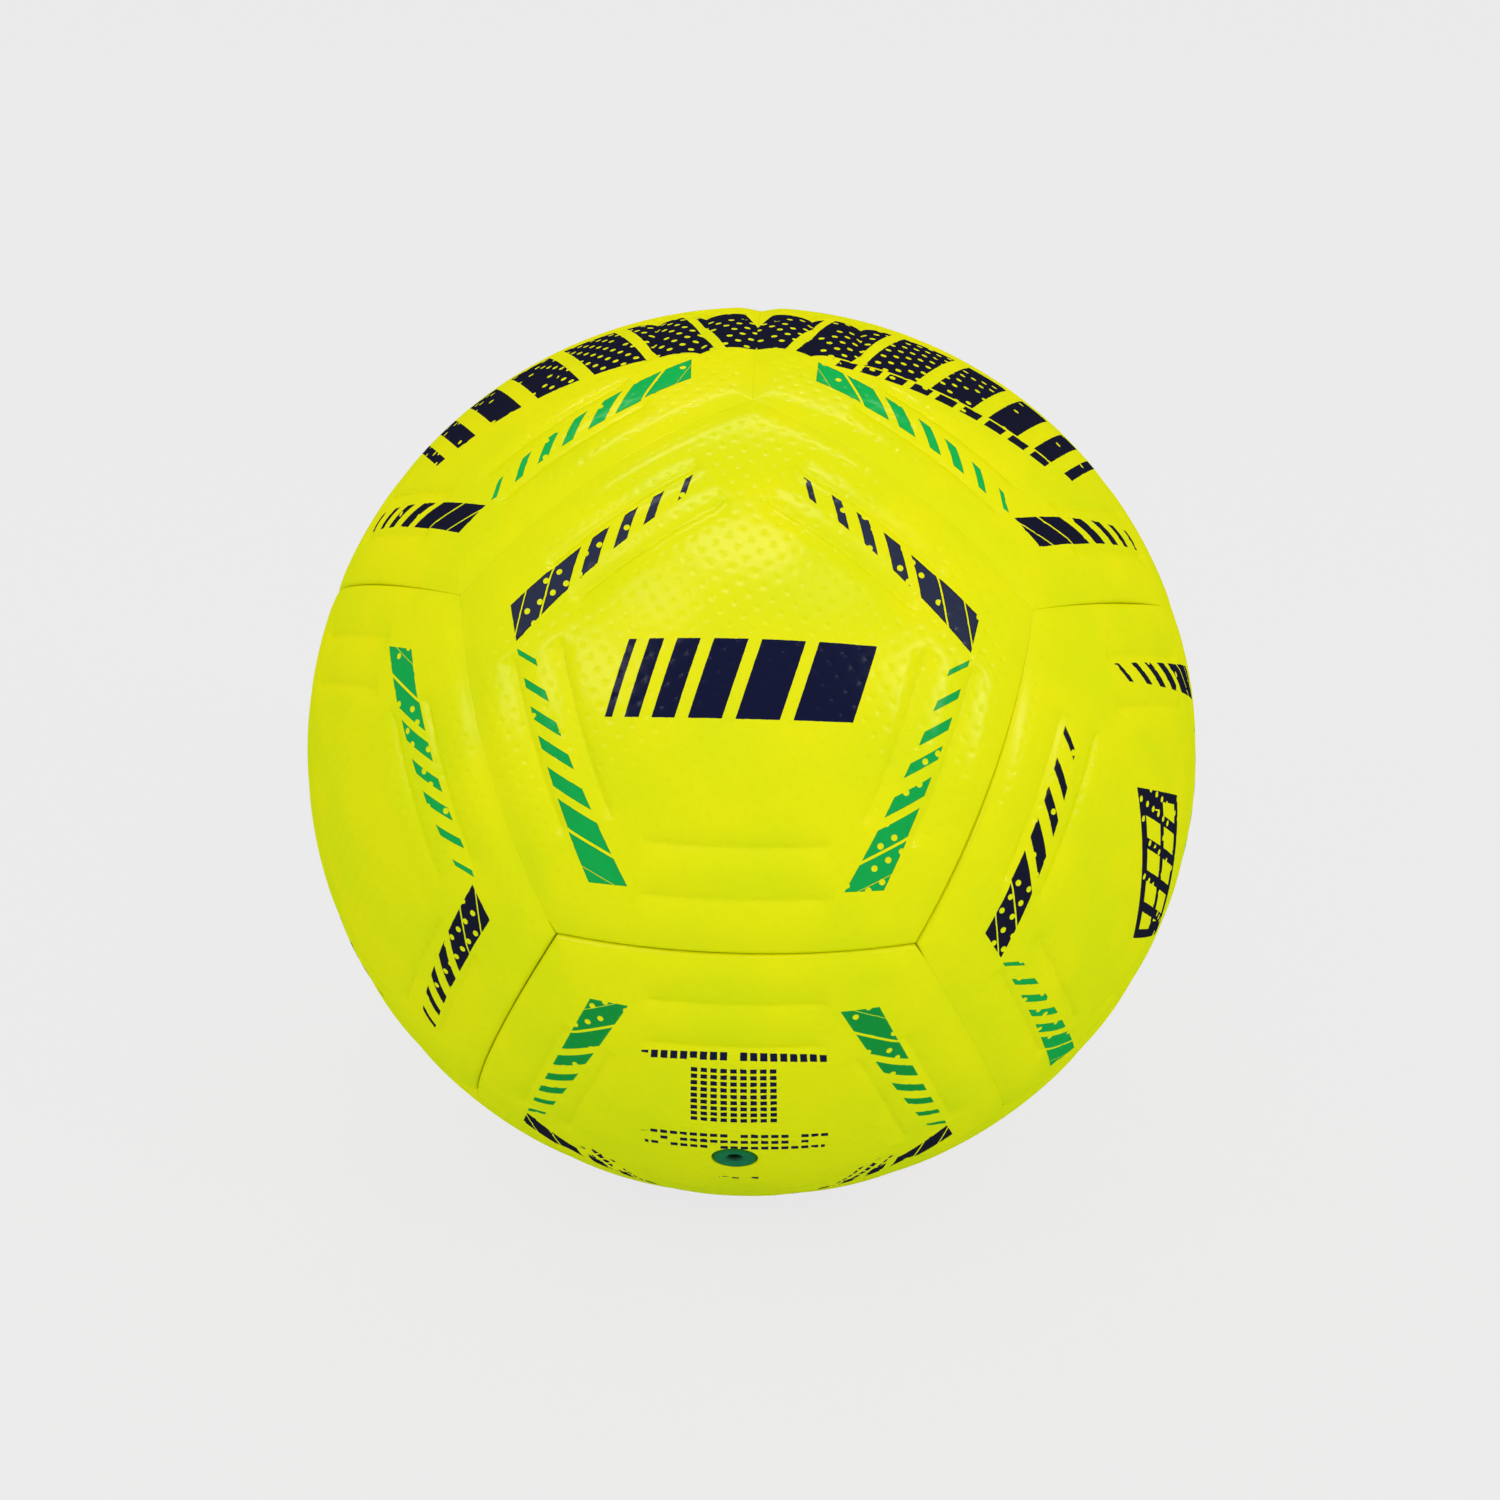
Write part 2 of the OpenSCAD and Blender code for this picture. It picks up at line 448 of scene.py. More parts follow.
@dataclass(frozen=True)
class DimpleLattice:
    """The grip dimples' square lattice, laid round a panel's centre by distance and direction."""

    pitch: float = 2.6 * MM
    radius: float = 0.6 * MM
    depth: float = 0.13 * MM
    # How far from a dimple's middle the ink can miss it
    dot_r: float = 0.52 * MM
    turn: float = math.radians(33)
    # Keeps the panel's very centre from a division by zero
    least: float = 1e-7

    def axes(self) -> Pair:
        """Gives the cosine and sine of the lattice's turn."""
        return math.cos(self.turn), math.sin(self.turn)

    def spacing(self, ways: np.ndarray, ball_r: float) -> np.ndarray:
        """Works out how far places lie from the nearest dimple's middle.

        Args:
            ways: Directions in a panel's own axes, one per row.
            ball_r: The ball's radius.

        Returns:
            The distances in metres.
        """
        across = np.hypot(ways[:, 0], ways[:, 1])
        arc = np.arctan2(across, ways[:, 2]) * ball_r
        flat = ways[:, :2] * (arc / np.maximum(across, self.least))[:, None]
        cos, sin = self.axes()
        cells = flat @ np.array([[cos, -sin], [sin, cos]]) / self.pitch
        return np.hypot(*(cells - np.round(cells)).T) * self.pitch

    def dots(self, x: Wire, y: Wire, z: Wire, ball_r: float) -> tuple[Wire, Wire]:
        """Finds the dimples in a material.

        Args:
            x: Place towards the panel's leading corner.
            y: Place to its side.
            z: Place out from the ball's centre.
            ball_r: The ball's radius.

        Returns:
            One on a dimple and zero beside it; and each dimple's own random value.
        """
        across = (x * x + y * y).root().at_least(self.least)
        arc = across.angle(z) * (ball_r / self.pitch) / across
        cos, sin = self.axes()
        a, b = (x * cos + y * sin) * arc, (y * cos - x * sin) * arc
        cell_a, cell_b = a.rounded(), b.rounded()
        off_a, off_b = a - cell_a, b - cell_b
        apart = (off_a * off_a + off_b * off_b).root()
        return apart < self.dot_r / self.pitch, x.sheet.chance(cell_a, cell_b)


@dataclass(frozen=True)
class FlatPlace:
    """A place on a panel spread flat, in ball radii: to the right, and ahead to its corner."""

    across: Wire
    ahead: Wire

    def block(self, middle: Pair, half: Pair) -> Wire:
        """Measures the depth in an upright block, by its middle and half its width and height."""
        wide = half[0] - abs(self.across - middle[0])
        return wide.at_most(half[1] - abs(self.ahead - middle[1]))


@dataclass(frozen=True)
class DashRow:
    """A tapered row of slanted dashes along one side of a panel."""

    # The side's corner at the row's thick end, and the side's direction from there
    start: Pair
    way: Pair
    # The dashes' ends along the side
    dashes: Spans
    # Both edges, inward from the seam, and how the inner one comes in
    outer: float = 0.17
    inner: float = 0.258
    taper: float = 0.085
    taper_start: float = 0.097
    # Where the row begins along the side, and how that beginning slants
    head: float = 0.125
    head_slant: float = 0.318

    def draw(self, flat: FlatPlace) -> Wire:
        """Draws the row.

        Args:
            flat: The place on the panel.

        Returns:
            The depth in its dashes.
        """
        x, y = flat.across - self.start[0], flat.ahead - self.start[1]
        along = x * self.way[0] + y * self.way[1]
        inward = y * self.way[0] - x * self.way[1]
        beyond = inward - self.outer
        inner = (along - self.taper_start) * -self.taper + self.inner - inward
        head = along + beyond * self.head_slant - self.head
        return (along + beyond).bars(self.dashes).at_most(beyond).at_most(inner).at_most(head)


GREEN_ROW = DashRow(
    (0.449, -0.618), (0.309, 0.951),
    (
        (0.0932, 0.1645), (0.1667, 0.2479), (0.2578, 0.3247), (0.3521, 0.396),
        (0.4355, 0.4665), (0.5024, 0.5325), (0.575, 0.5985), (0.651, 0.6665),
    ),
)
NAVY_ROW = DashRow(
    (0.7265, 0.2361), (-0.809, 0.588),
    (
        (0.1064, 0.1722), (0.1777, 0.2534), (0.26, 0.3335), (0.3642, 0.4103),
        (0.4498, 0.4838), (0.5232, 0.5505), (0.606, 0.625),
    ),
)


@dataclass(frozen=True)
class MotifPrint:
    """The navy motifs and their sizes, where even bars are given by pitch and filled share."""

    # The upper panels' band of slanted bars, and the dashed rule on the right one
    band_bars: Spans = (
        (0.01, 0.15), (0.178, 0.32), (0.35, 0.475), (0.51, 0.61), (0.65, 0.725), (0.77, 0.82),
        (0.858, 0.884),
    )
    band_start: float = -0.618
    band_slant: float = 0.35
    band_middle: float = 0.05
    band_half: float = 0.14
    rule_middle: Pair = (0.215, -0.14)
    rule_half: Pair = (0.018, 0.27)
    rule_dashes: Pair = (0.06, 0.72)
    # The front panel's row of bars that widen
    bars: Spans = (
        (0.0, 0.016), (0.042, 0.072), (0.098, 0.144), (0.17, 0.236), (0.262, 0.347),
        (0.373, 0.492),
    )
    bars_start: Pair = (-0.27, -0.085)
    bars_slant: float = 0.3
    bars_level: float = -0.005
    bars_half: float = 0.078
    # The right panel's block, its axes on the panel, and the two ladders left bare in it
    block_middle: Pair = (0.049, -0.058)
    block_wide: Pair = (1.125, -0.256)
    block_tall: Pair = (0.781, 0.848)
    block_half: Pair = (0.112, 0.1845)
    ladder_middles: Spans = ((-0.048, -0.01), (0.048, 0.01))
    ladder_half: Pair = (0.037, 0.15)
    rungs: Pair = (0.078, 0.66)
    rung_slant: float = 0.2
    # The valve panel's grid of dots, its bent broken rules, and the slanted lines at both sides
    grid_middle: Pair = (0.0, -0.1975)
    grid_half: Pair = (0.0923, 0.0923)
    grid_dots: Pair = (0.0205, 0.66)
    rules: tuple[tuple[Pair, Pair], ...] = (
        ((0.0, -0.322), (0.2, 0.0105)),
        ((0.0, -0.055), (0.2, 0.0065)),
        ((0.0, -0.03), (0.16, 0.0065)),
        ((0.0, -0.005), (0.19, 0.0065)),
        ((-0.01, 0.165), (0.045, 0.007)),
    )
    rules_bend: float = 0.35
    rules_dashes: Pair = (0.021, 0.72)
    lines_axis: Pair = (0.863, 0.505)
    lines_middle: Pair = (0.378, 0.125)
    lines_half: Pair = (0.022, 0.16)
    lines: Pair = (0.022, 0.5)
    lines_dashes: Pair = (0.024, 0.72)
    # Cells per unit across the rules, and the share of dashes that is left out
    gap_cells: float = 40
    gap_share: float = 0.16

    def band(self, flat: FlatPlace, hand: int) -> Wire:
        """Draws an upper panel's band of slanted bars.

        Args:
            flat: The place on the panel.
            hand: -1 on the left panel, 1 on the right one.

        Returns:
            The depth in it.
        """
        slanted = flat.ahead + flat.across * self.band_slant * hand
        low = self.band_half - abs(flat.across - self.band_middle * hand)
        bars = (slanted - self.band_start).bars(self.band_bars).at_most(low)
        if hand < 0:
            return bars
        rule = flat.block(self.rule_middle, self.rule_half)
        return bars.at_least(rule.at_most(slanted.repeated(*self.rule_dashes)))

    def bar_row(self, flat: FlatPlace) -> Wire:
        """Draws the front panel's row of bars that widen."""
        lean = (flat.ahead - self.bars_start[1]) * self.bars_slant
        bars = (flat.across - self.bars_start[0] - lean).bars(self.bars)
        return bars.at_most(self.bars_half - abs(flat.ahead - self.bars_level))

    def ladders(self, flat: FlatPlace) -> Wire:
        """Draws the right panel's block, with two ladders of slanted bars left bare.

        Args:
            flat: The place on the panel.

        Returns:
            The depth in it.
        """
        x, y = flat.across - self.block_middle[0], flat.ahead - self.block_middle[1]
        own = FlatPlace(*(x * a + y * b for a, b in (self.block_wide, self.block_tall)))
        posts = [own.block(middle, self.ladder_half) for middle in self.ladder_middles]
        rungs = (own.ahead + own.across * self.rung_slant).repeated(*self.rungs)
        bare = rungs.at_most(reduce(Wire.at_least, posts))
        return own.block((0.0, 0.0), self.block_half).at_most(bare * -1.0)

    def kept(self, along: Wire, across: Wire) -> Wire:
        """Gives more than zero on a broken rule's kept dashes, less on those left out."""
        line = (across * self.gap_cells).rounded()
        return along.sheet.chance(along.rounded(), line) - self.gap_share

    def broken_rules(self, flat: FlatPlace) -> Wire:
        """Draws the valve panel's grid of dots, bent broken rules and slanted lines.

        Args:
            flat: The place on the panel.

        Returns:
            The depth in them.
        """
        x, y = flat.across, flat.ahead
        rows = (y - self.grid_middle[1]).repeated(*self.grid_dots)
        dots = x.repeated(*self.grid_dots).at_most(rows)
        dots = dots.at_most(flat.block(self.grid_middle, self.grid_half))
        bent = FlatPlace(x, y - x * x * self.rules_bend)
        rules = reduce(Wire.at_least, [bent.block(*rule) for rule in self.rules])
        dashes = x.repeated(*self.rules_dashes).at_most(self.kept(x / self.rules_dashes[0], y))
        cos, sin = self.lines_axis
        side = FlatPlace(abs(x) * cos + y * sin, y * cos - abs(x) * sin)
        lines = (side.across - self.lines_middle[0]).repeated(*self.lines)
        lines = lines.at_most(side.ahead.repeated(*self.lines_dashes))
        lines = lines.at_most(self.kept(side.ahead / self.lines_dashes[0], x))
        lines = lines.at_most(side.block(self.lines_middle, self.lines_half))
        return dots.at_least(rules.at_most(dashes)).at_least(lines)

    def draw(self, motif: Motif, flat: FlatPlace) -> Wire | None:
        """Draws a panel's motif.

        Args:
            motif: Which motif.
            flat: The place on the panel.

        Returns:
            The depth in it, or none.
        """
        match motif:
            case Motif.LEFT_BAND:
                return self.band(flat, -1)
            case Motif.RIGHT_BAND:
                return self.band(flat, 1)
            case Motif.BARS:
                return self.bar_row(flat)
            case Motif.LADDERS:
                return self.ladders(flat)
            case Motif.RULES:
                return self.broken_rules(flat)
        return None


@dataclass(frozen=True)
class SkinFinish:
    """The printed synthetic leather of the cover panels."""

    film: Rgba = linear(233, 230, 1)
    film_worn: Rgba = linear(223, 228, 1)
    film_scale: float = 60
    green_edge: Rgba = linear(12, 156, 60)
    navy_edge: Rgba = linear(9, 12, 36)
    # Painted sheen: the front panel's navy, lighter inside its strokes
    navy_sheen: Rgba = linear(38, 44, 70)
    navy_deep: Rgba = linear(9, 12, 38)
    navy_flat: Rgba = linear(4, 10, 50)
    # How far in from a form's edge its colour goes over to that of its inside, where the front
    # panel's navy takes its painted sheen
    ink_edge: Pair = (0.001, 0.0045)
    # How far below the ball's surface the skin is still printed
    print_depth: float = 1.0 * MM
    # How unsteady the print's edges are
    wobble_scale: float = 1400
    wobble: float = 0.0016
    # Where a leaning green row crosses its straight place
    lean_start: float = -0.2
    # Patches with more dimples that the ink missed
    patch_scale: float = 28
    patch_edge: Pair = (0.38, 0.64)
    # Shares of missed dimples: in the rows' patches and worn places; in a motif's patches and
    # all over it
    row_missed: Pair = (0.22, 0.58)
    motif_missed: Pair = (0.8, 0.15)
    # Places on the ball where the ink was pressed least, by direction, and their size
    worn_places: tuple[Triple, ...] = (
        (0.28, -0.93, 0.22), (0.29, -0.93, -0.2), (-0.28, -0.95, -0.14), (0.58, -0.81, -0.03),
        (0.66, -0.71, -0.25), (-0.6, -0.79, -0.1), (-0.3, -0.7, 0.65), (0.25, -0.68, 0.69),
        (-0.69, -0.67, 0.28), (0.4, -0.84, 0.37),
    )
    worn_edge: Pair = (0.09, 0.195)
    roughness: float = 0.19
    sheen_scale: float = 180
    sheen_spread: float = 0.1
    gloss: float = 0.0082
    # The leather's grain, with the ink's thickness in the same measure
    grain_scale: float = 2600
    grain_depth: float = 0.0105 * MM
    ink_height: float = 0.9
    motifs: MotifPrint = field(default_factory=MotifPrint)

    def wear(self, place: Wire, ball_r: float) -> Wire:
        """Marks the places where the ink was pressed least.

        Args:
            place: A point on the ball.
            ball_r: The ball's radius.

        Returns:
            One in the middle of each place, falling to zero round it.
        """
        apart = []
        for direction in self.worn_places:
            points = {0: place, 1: tuple(c * ball_r for c in direction)}
            operation = {"operation": "DISTANCE"}
            apart.append(place.sheet.wire("ShaderNodeVectorMath", "Value", operation, points))
        return 1 - reduce(Wire.at_most, apart).eased(*(c * ball_r for c in self.worn_edge))

    def inks(
        self, panel: PanelPlace, flat: FlatPlace, wobble: Wire, kept: tuple[Wire, Wire]
    ) -> list[tuple[Wire, Rgba, Rgba, Wire | float]]:
        """Draws all that is printed on a panel.

        Args:
            panel: The panel.
            flat: The place on it.
            wobble: How far the print strays there.
            kept: Where the ink of the rows and that of a motif reached the skin.

        Returns:
            Each form's depth, its colours at the edge and inside, and where its ink is.
        """
        leaning = abs(flat.across + (flat.ahead - self.lean_start) * panel.lean)
        leaning = leaning - (flat.across > 0.0) * panel.slip + wobble
        side, ahead = abs(flat.across) + wobble, flat.ahead + wobble
        green = GREEN_ROW.draw(FlatPlace(leaning, ahead))
        navy = NAVY_ROW.draw(FlatPlace(side, ahead))
        # The front panel's navy is drawn lighter inside its strokes, a painted sheen
        core = self.navy_sheen if panel.motif is Motif.BARS else self.navy_deep
        rows_kept, motif_kept = kept
        forms = [
            # The green's inside carries the panel's painted sheen or painted shade
            (green, self.green_edge, panel.tone.value, rows_kept),
            (navy, self.navy_edge, core, rows_kept),
        ]
        motif = self.motifs.draw(panel.motif, FlatPlace(flat.across + wobble, ahead))
        if panel.motif in (Motif.BARS, Motif.RULES):
            forms.append((motif, self.navy_flat, self.navy_flat, 1.0))
        elif motif is not None:
            forms.append((motif, self.navy_edge, self.navy_deep, motif_kept))
        return forms

    def make(
        self, panel: PanelPlace, lattice: DimpleLattice, ball_r: float
    ) -> bpy.types.Material:
        """Makes one panel's material.

        Args:
            panel: The panel.
            lattice: The grip dimples' lattice.
            ball_r: The ball's radius.

        Returns:
            The material.
        """
        material, sheet = new_material(f"skin_{panel.name}")
        place = sheet.place()
        x, y, z = sheet.parts(sheet.turned(place, panel.turn().transposed().to_euler()))
        wobble = (sheet.noise(place, self.wobble_scale, 1.0) - 0.5) * self.wobble
        dots, chance = lattice.dots(x, y, z, ball_r)
        patches = sheet.noise(place, self.patch_scale, 1.0).eased(*self.patch_edge)
        worn = self.wear(place, ball_r)
        missed = (
            patches * self.row_missed[0] + worn * self.row_missed[1],
            patches * self.motif_missed[0] + self.motif_missed[1],
        )
        kept = tuple(1 - dots * (chance < share) for share in missed)
        outside = (x * x + y * y + z * z).root() > ball_r - self.print_depth
        mottle = sheet.noise(place, self.film_scale, 3.0).eased(*MOTTLE)
        colour = sheet.blend(mottle, self.film, self.film_worn)
        masks = []
        flat = FlatPlace(y * -1.0 / z, x / z)
        for depth, edge_colour, core_colour, inked in self.inks(panel, flat, wobble, kept):
            ink = sheet.blend(depth.eased(*self.ink_edge), edge_colour, core_colour)
            masks.append((depth > 0.0) * outside * inked)
            colour = sheet.blend(masks[-1], colour, ink)
        rough = (sheet.noise(place, self.sheen_scale) - 0.5) * self.sheen_spread + self.roughness
        height = sheet.noise(place, self.grain_scale)
        height = height + reduce(Wire.at_least, masks) * self.ink_height
        finish_surface(sheet, colour, rough, height, self.grain_depth, 0.0, self.gloss)
        return material


@dataclass(frozen=True)
class SeamPattern:
    """Where the ball's seams are open and shut. Lengths are shares of the ball's radius."""

    # The height at which seams are shut, and the one below which they are open
    height: Pair = (0.64, 0.14)
    # Distance from a seam that is bonded fully shut, and distance along the way to its middle
    shut_beside: Pair = (0.07, 0.05)
    shut_along: Pair = (0.919, 0.931)
    # Both flanks' seams are open higher up, but not on the far right
    flank: Pair = (0.57, 0.77)
    flank_top: float = 0.62
    flank_most: float = 0.95
    right: Pair = (0.8, 0.87)
    right_height: Pair = (0.2, 0.35)
    # Two waves that vary the gap, each by its direction and start, and the gap's least share
    waves: tuple[tuple[Triple, float], ...] = (((9, 5, 0), 1), ((-4, 0, 7), 2))
    least: float = 0.78
    # Where the flanks lack the fall to the seams, and how much of it
    full_flank: Pair = (0.79, 0.91)
    full_share: float = 0.68

    def openness(self, spots: np.ndarray) -> np.ndarray:
        """Says how far the seams stand open round the ball.

        Args:
            spots: Places on the ball, one per row.

        Returns:
            From 0, bonded shut, to 1, open by the full gap.
        """
        x, _, z = spots.T
        wide = smooth(ramp(z, self.height))
        for pair in SHUT_SEAMS:
            one, other = (np.array(p.centre) / np.linalg.norm(p.centre) for p in pair)
            middle = (one + other) / np.linalg.norm(one + other)
            beside = ramp(np.abs(spots @ (one - other)), self.shut_beside)
            wide = wide * (1 - beside * ramp(spots @ middle, self.shut_along))
        flank = np.minimum(ramp(np.abs(x), self.flank), self.flank_most)
        wide = np.maximum(wide, flank * ((z > 0) & (z < self.flank_top)))
        wide = wide * (1 - ramp(x, self.right) * ramp(z, self.right_height))
        one, other = (np.sin(spots @ np.array(way) + start) for way, start in self.waves)
        wave = one * other * 0.5 + 0.5
        return np.clip(wide * (self.least + (1 - self.least) * wave), 0, 1)

    def fullness(self, spots: np.ndarray) -> np.ndarray:
        """Says how much of the fall to the seams is missing at places on the ball."""
        return smooth(ramp(np.abs(spots[:, 0]), self.full_flank)) * self.full_share


@dataclass
class CoverPanels:
    """The twelve cover panels: each a skin folded down at its edge, with its pressed relief."""

    ball_r: float = 80 * MM
    skin_in_r: float = 78.5 * MM
    fold_in_r: float = 75.85 * MM
    fold_t: float = 1.2 * MM
    half_gap: float = 0.1 * MM
    closed_half_gap: float = 0.008 * MM
    lip_w: float = 0.9 * MM
    lip_sink: float = 0.6 * MM
    lip_steps: int = 5
    # The share of the lip's sink that a bonded seam gives back
    shut_lift: float = 0.92
    border_w: float = 9.3 * MM
    bar_w: float = 8.6 * MM
    bar_l: float = 29.4 * MM
    # How far a bar's relief runs on past its end, and over what length it fades
    bar_over: float = 1.0 * MM
    bar_fade: float = 2.6 * MM
    valley_half: float = 1.0 * MM
    valley_depth: float = 0.12 * MM
    valley_power: float = 1.7
    # Lines of the mesh along a valley, as shares of its half width, and how far past a bar
    score_shares: tuple[float, ...] = (-1.0, -0.4, 0.0, 0.4, 1.0)
    score_margin: float = 1.2 * MM
    border_fall: float = 0.84 * MM
    border_fall_w: float = 4.65 * MM
    # What a bonded seam gives back of its fall, and how far in from the seam
    shut_rise: float = 0.21 * MM
    shut_rise_w: float = 1.4 * MM
    shoulder_fall: float = 0.75 * MM
    bar_crown: float = 0.72 * MM
    inner_fall: float = 0.6 * MM
    inner_fall_w: float = 3.2 * MM
    # Where the dimples start, in from the seam
    dimple_start: Pair = (1.6 * MM, 2.2 * MM)
    hole_r: float = 3.85 * MM
    hole_round: float = 0.3 * MM
    # The inner face's rings, and the size that they tend to as a share of the face
    cap_rings: int = 6
    cap_least: float = 0.12
    dimples: DimpleLattice = field(default_factory=DimpleLattice)
    seams: SeamPattern = field(default_factory=SeamPattern)
    finish: SkinFinish = field(default_factory=SkinFinish)
    # Lines of the mesh in one pitch of the dimples, as shares of it
    line_shares: tuple[float, ...] = (0.0, 0.115, 0.23, 0.5, 0.77, 0.885)

    def side_axes(self, k: int) -> tuple[Vector, Vector, Vector]:
        """Gives the axes of one side of a panel, in the panel's own frame.

        Args:
            k: The side, counted from the leading corner.

        Returns:
            The middle of the seam, the way along it, and the way in from it.
        """
        turn = (k + 0.5) * SIDE_STEP
        cos, sin = math.cos(turn), math.sin(turn)
        middle = Vector((SEAM_SIN * cos, SEAM_SIN * sin, SEAM_COS))
        inward = Vector((-SEAM_COS * cos, -SEAM_COS * sin, SEAM_SIN))
        return middle, Vector((-sin, cos, 0)), inward

    def half_side(self, inset: float) -> float:
        """Works out half a side's angle, held in from the seams.

        Args:
            inset: The angle held in.

        Returns:
            The angle from the side's middle to its corner.
        """
        cos, sin = math.cos(SIDE_STEP / 2), math.sin(SIDE_STEP / 2)
        reach = SEAM_COS * cos
        start = math.atan2(reach, SEAM_SIN)
        tilt = math.acos(math.sin(inset) / math.hypot(SEAM_SIN, reach)) - start
        ahead = SEAM_SIN * math.sin(tilt) * cos + SEAM_COS * math.cos(tilt)
        return math.atan2(math.sin(tilt) * sin, ahead)

    def on_side(self, direction: Vector, inset: float) -> tuple[int, float]:
        """Finds a rim vertex's side and its share along it.

        Args:
            direction: The vertex's direction.
            inset: The angle by which its ring is held in.

        Returns:
            The side, and the place along it from -1 to 1.
        """
        axes = [self.side_axes(k) for k in range(SIDES)]
        offsets = [abs(math.asin(direction.dot(a[2])) - inset) for a in axes]
        k = min(range(SIDES), key=lambda i: offsets[i])
        middle, along, _ = axes[k]
        turn = math.atan2(direction.dot(along), direction.dot(middle))
        return k, turn / self.half_side(inset)

    def rim_point(self, k: int, share: float, inset: float) -> Vector:
        """Gives a direction on a ring round the panel.

        Args:
            k: The side.
            share: The place along it, from -1 to 1.
            inset: The angle by which the ring is held in.

        Returns:
            The direction.
        """
        middle, along, inward = self.side_axes(k)
        turn = share * self.half_side(inset)
        great = middle * math.cos(turn) + along * math.sin(turn)
        return great * math.cos(inset) + inward * math.sin(inset)

    def bent_grid(self) -> bmesh.types.BMesh:
        """Lays a grid with the dimples' lines on the sphere.

        Returns:
            The grid, in a panel's own axes.
        """
        lines, pitch = len(self.line_shares), self.dimples.pitch
        pitches = 2 * math.ceil(CORNER_ANGLE * self.ball_r / pitch)
        steps = pitches * lines
        places = [
            (i // lines - pitches / 2 + self.line_shares[i % lines]) * pitch
            for i in range(steps + 1)
        ]
        cos, sin = self.dimples.axes()
        sheet = bmesh.new()
        bmesh.ops.create_grid(sheet, x_segments=steps, y_segments=steps, size=steps / 2)
        for vert in sheet.verts:
            a, b = (places[round(c + steps / 2)] for c in vert.co.xy)
            x, y = a * cos - b * sin, a * sin + b * cos
            far = math.hypot(x, y)
            angle = far / self.ball_r
            spread = math.sin(angle) / far if far else 0.0
            vert.co = Vector((x * spread, y * spread, math.cos(angle))) * self.ball_r
        return sheet

    def trimmed(self, sheet: bmesh.types.BMesh) -> None:
        """Cuts the grid along its five rims and adds lines along the valleys.

        Args:
            sheet: The bent grid, which is changed.
        """
        for k in range(SIDES):
            inward = self.side_axes(k)[2]
            place = inward * self.ball_r * math.sin(self.lip_w / self.ball_r)
            geom = [*sheet.verts, *sheet.edges, *sheet.faces]
            bmesh.ops.bisect_plane(
                sheet, geom=geom, plane_co=place, plane_no=-inward, clear_outer=True,
                dist=RIM_REACH,
            )
        for k in range(SIDES):
            for valley in (self.border_w, self.border_w + self.bar_w):
                for share in self.score_shares:
                    self.scored(sheet, k, valley + share * self.valley_half)

    def scored(self, sheet: bmesh.types.BMesh, k: int, distance: float) -> None:
        """Adds a line of vertices beside one bar.

        Args:
            sheet: The trimmed grid, which is changed.
            k: The side.
            distance: How far in from the seam.
        """
        middle, along, inward = self.side_axes(k)
        reach = self.bar_l / 2 + self.score_margin
        geom = set()
        for face in sheet.faces:
            at = face.calc_center_median().normalized()
            apart = math.asin(at.dot(inward)) * self.ball_r - distance
            run = math.atan2(at.dot(along), at.dot(middle)) * self.ball_r
            if abs(apart) < self.score_margin and abs(run) < reach:
                geom |= {face, *face.edges, *face.verts}
        place = inward * self.ball_r * math.sin(distance / self.ball_r)
        bmesh.ops.bisect_plane(
            sheet, geom=list(geom), plane_co=place, plane_no=inward, dist=VALLEY_REACH
        )

    def opened(self, sheet: bmesh.types.BMesh) -> list[bmesh.types.BMEdge]:
        """Cuts the valve's hole through the skin.

        Args:
            sheet: The trimmed grid, which is changed.

        Returns:
            The rim of the hole's lower end.
        """
        start = self.hole_r + self.hole_round
        top = math.sqrt(self.ball_r**2 - start**2)
        upright = Matrix.Rotation(-VALVE_SHIFT, 3, "Y")
        bmesh.ops.rotate(sheet, verts=sheet.verts[:], matrix=upright)
        near = [f for f in sheet.faces if min(v.co.xy.length for v in f.verts) < start]
        bmesh.ops.delete(sheet, geom=near, context="FACES")
        bounds = [e for e in sheet.edges if e.is_boundary]
        rim = [e for e in bounds if e.verts[0].co.xy.length < 2 * start]
        for vert in {v for e in rim for v in e.verts}:
            vert.co = Vector((*(vert.co.xy.normalized() * start), top))
        rings = [
            (start - self.hole_round * sin, top - self.hole_round * (1 - cos))
            for sin, cos in quarter_turn(self.lip_steps)
        ]
        rings.append((self.hole_r, self.skin_in_r))
        for radius, height in rings:
            rim, verts = self.extruded(sheet, rim)
            for vert in verts:
                vert.co = Vector((*(vert.co.xy.normalized() * radius), height))
        bmesh.ops.rotate(sheet, verts=sheet.verts[:], matrix=upright.transposed())
        return rim

    @staticmethod
    def extruded(
        sheet: bmesh.types.BMesh, rim: Sequence[bmesh.types.BMEdge]
    ) -> tuple[list[bmesh.types.BMEdge], list[bmesh.types.BMVert]]:
        """Adds a strip of faces along a rim.

        Args:
            sheet: The mesh, which is changed.
            rim: The rim's edges.

        Returns:
            The new rim's edges and vertices.
        """
        grown = bmesh.ops.extrude_edge_only(sheet, edges=list(rim))["geom"]
        verts = [g for g in grown if isinstance(g, bmesh.types.BMVert)]
        fresh = set(verts)
        edges = [g for g in grown if isinstance(g, bmesh.types.BMEdge) and set(g.verts) <= fresh]
        return edges, verts

